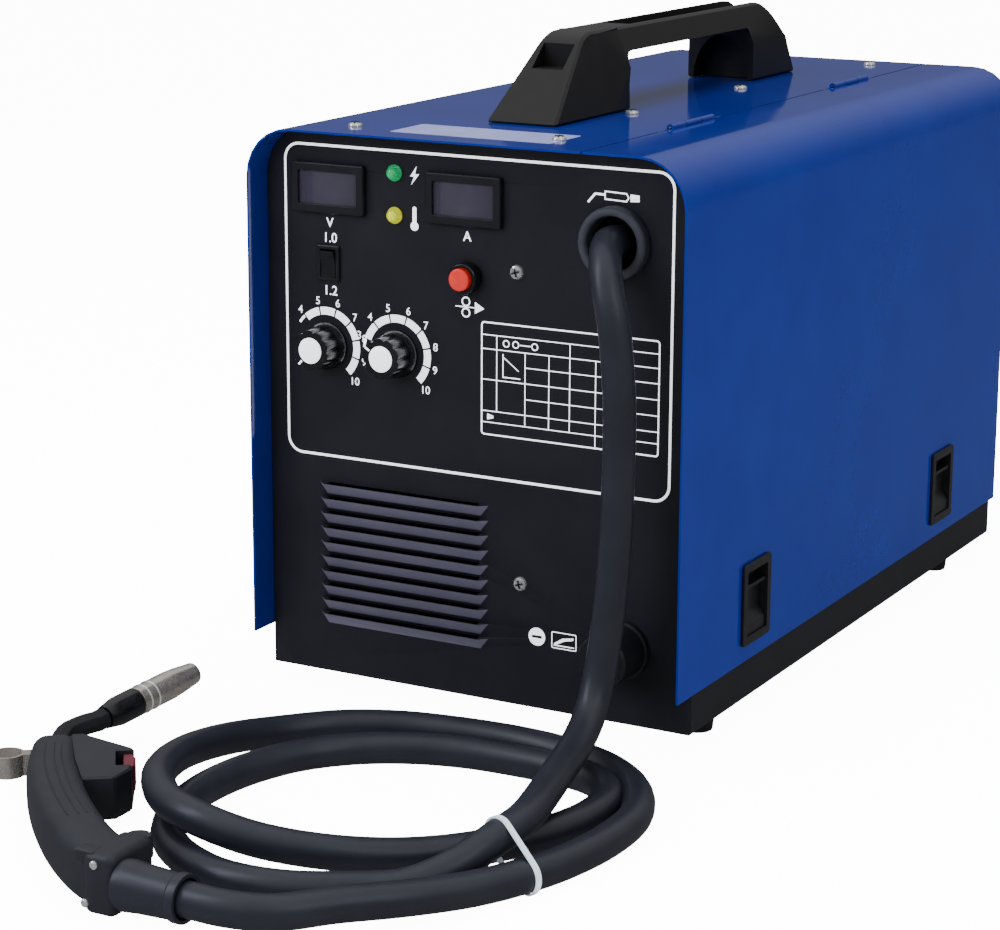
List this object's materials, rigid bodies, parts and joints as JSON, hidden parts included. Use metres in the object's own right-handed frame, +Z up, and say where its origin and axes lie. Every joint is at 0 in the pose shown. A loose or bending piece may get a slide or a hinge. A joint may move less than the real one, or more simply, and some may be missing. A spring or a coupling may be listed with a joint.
{
  "type": "portable inverter mig welder",
  "caption": "Portable inverter MIG welder: blue steel cover with hinged side door, black front panel with meters and knobs, carry handle, and a looped torch hose with its torch.",
  "frame": {"origin": "on the floor under the middle of the footprint of case and torch, without the hose", "axes": "+X to the right seen from the front panel, +Y from the front panel to the back, +Z up"},
  "size_m": [0.3372, 0.8694, 0.384],
  "materials": {
    "blue_enamel": "glossy deep blue stove enamel",
    "black_enamel": "black powder coat, fine texture",
    "black_plastic": "moulded black plastic",
    "display_plastic": "smoked display window",
    "green_lens": "clear green lens",
    "yellow_lens": "clear yellow lens",
    "red_plastic": "moulded red plastic",
    "maroon_plastic": "moulded dark red plastic",
    "rubber": "black rubber, slight sheen",
    "steel": "turned and drawn steel",
    "nickel": "satin nickel plate",
    "brass": "machined brass",
    "copper_wire": "copper-coated welding wire",
    "aluminium": "extruded and cast aluminium",
    "zinc": "zinc-plated sheet steel",
    "board_green": "green circuit board",
    "grey_plastic": "moulded grey nylon"
  },
  "bodies": {
    "case": {"base_tray": "black_enamel", "button_collar": "black_plastic", "carry_handle": "black_plastic", "control_board": "board_green", "divider": "zinc", "earth_socket": "black_plastic", "fan_shroud": "black_plastic", "feed_motor": "steel", "feeder_frame": "aluminium", "foot_front_left": "rubber", "foot_front_right": "rubber", "foot_rear_left": "rubber", "foot_rear_right": "rubber", "front_panel": "black_enamel", "gas_inlet": "brass", "heatsink": "aluminium", "hinge_pin_front": "steel", "hinge_pin_rear": "steel", "hose_grommet": "rubber", "lamp_overheat": "yellow_lens", "lamp_power": "green_lens", "main_board": "board_green", "mains_gland": "black_plastic", "meter_bezel_amps": "black_plastic", "meter_bezel_volts": "black_plastic", "meter_window_amps": "display_plastic", "meter_window_volts": "display_plastic", "power_switch_frame": "black_plastic", "reactor": "steel", "rear_panel": "black_enamel", "rocker_frame": "black_plastic", "spool_hub": "grey_plastic", "spool_nut": "grey_plastic", "top_cover": "blue_enamel", "torch_boot": "rubber", "torch_handle": "black_plastic", "torch_hook": "nickel", "torch_hose": "rubber", "torch_insulator": "black_plastic", "torch_neck": "black_plastic", "torch_nozzle": "nickel", "trigger_housing": "black_plastic"},
    "door": {"side_door": "blue_enamel", "latch_frame_front": "black_plastic", "latch_frame_rear": "black_plastic"},
    "front_latch": {"latch_slide_front": "black_plastic"},
    "rear_latch": {"latch_slide_rear": "black_plastic"},
    "current_knob": {"current_knob": "black_plastic"},
    "voltage_knob": {"voltage_knob": "black_plastic"},
    "wire_rocker": {"wire_rocker": "black_plastic"},
    "jog_button": {"jog_button": "red_plastic"},
    "spool": {"wire_spool": "black_plastic", "wire_coil": "copper_wire"},
    "drive_roll": {"drive_roll": "steel"},
    "pressure_arm": {"pressure_arm": "steel"},
    "pressure_roll": {"pressure_roll": "steel"},
    "tension_knob": {"tension_knob": "black_plastic"},
    "fan": {"fan_rotor": "black_plastic"},
    "power_rocker": {"power_rocker": "black_plastic"},
    "torch_trigger": {"torch_trigger": "maroon_plastic"}
  },
  "joints": [
    {"name": "door_hinge", "type": "hinge", "parent": "case", "child": "door", "pos_m": [0.08784, 0.1537, 0.3359], "axis": [0, -1, 0], "range_deg": [0, 115]},
    {"name": "front_latch_slide", "type": "slide", "parent": "door", "child": "front_latch", "axis": [0, 0, 1], "range_m": [0, 0.008], "stiffness_N_per_m": 120},
    {"name": "rear_latch_slide", "type": "slide", "parent": "door", "child": "rear_latch", "axis": [0, 0, 1], "range_m": [0, 0.008], "stiffness_N_per_m": 120},
    {"name": "current_turn", "type": "hinge", "parent": "case", "child": "current_knob", "pos_m": [-0.08566, -0.0863, 0.209], "axis": [0, 1, 0], "range_deg": [0, 270]},
    {"name": "voltage_turn", "type": "hinge", "parent": "case", "child": "voltage_knob", "pos_m": [-0.03866, -0.0863, 0.209], "axis": [0, 1, 0], "range_deg": [-80, 190]},
    {"name": "wire_rocker_tilt", "type": "hinge", "parent": "case", "child": "wire_rocker", "pos_m": [-0.08336, -0.0863, 0.2573], "axis": [-1, 0, 0], "range_deg": [0, 20]},
    {"name": "jog_press", "type": "slide", "parent": "case", "child": "jog_button", "axis": [0, 1, 0], "range_m": [0, 0.003], "stiffness_N_per_m": 250},
    {"name": "spool_spin", "type": "hinge", "parent": "case", "child": "spool", "pos_m": [0.08934, 0.2487, 0.162], "axis": [1, 0, 0], "continuous": true},
    {"name": "drive_roll_spin", "type": "hinge", "parent": "case", "child": "drive_roll", "pos_m": [0.09994, -0.0113, 0.2999], "axis": [1, 0, 0], "continuous": true},
    {"name": "pressure_arm_swing", "type": "hinge", "parent": "case", "child": "pressure_arm", "pos_m": [0.10894, 0.0217, 0.2686], "axis": [1, 0, 0], "range_deg": [0, 45], "stiffness_Nm_per_rad": 0.6, "springref_deg": -20.05},
    {"name": "pressure_roll_spin", "type": "hinge", "parent": "pressure_arm", "child": "pressure_roll", "pos_m": [0.09994, -0.0113, 0.2728], "axis": [1, 0, 0], "continuous": true},
    {"name": "tension_turn", "type": "hinge", "parent": "pressure_arm", "child": "tension_knob", "pos_m": [0.11144, -0.0403, 0.2603], "axis": [0, 0, 1], "range_deg": [0, 360]},
    {"name": "fan_spin", "type": "hinge", "parent": "case", "child": "fan", "pos_m": [-0.04766, 0.3899, 0.162], "axis": [0, 1, 0], "continuous": true},
    {"name": "power_rocker_tilt", "type": "hinge", "parent": "case", "child": "power_rocker", "pos_m": [0.07234, 0.4047, 0.274], "axis": [1, 0, 0], "range_deg": [0, 20]},
    {"name": "trigger_pull", "type": "hinge", "parent": "case", "child": "torch_trigger", "pos_m": [-0.0822, -0.30053, 0.0165], "axis": [0, 0, -1], "range_deg": [0, 7], "stiffness_Nm_per_rad": 0.3}
  ],
  "couplings": [
    {"joint": "drive_roll_spin", "follows": "spool_spin", "ratio": -5.6667},
    {"joint": "pressure_roll_spin", "follows": "spool_spin", "ratio": 7.3913}
  ]
}
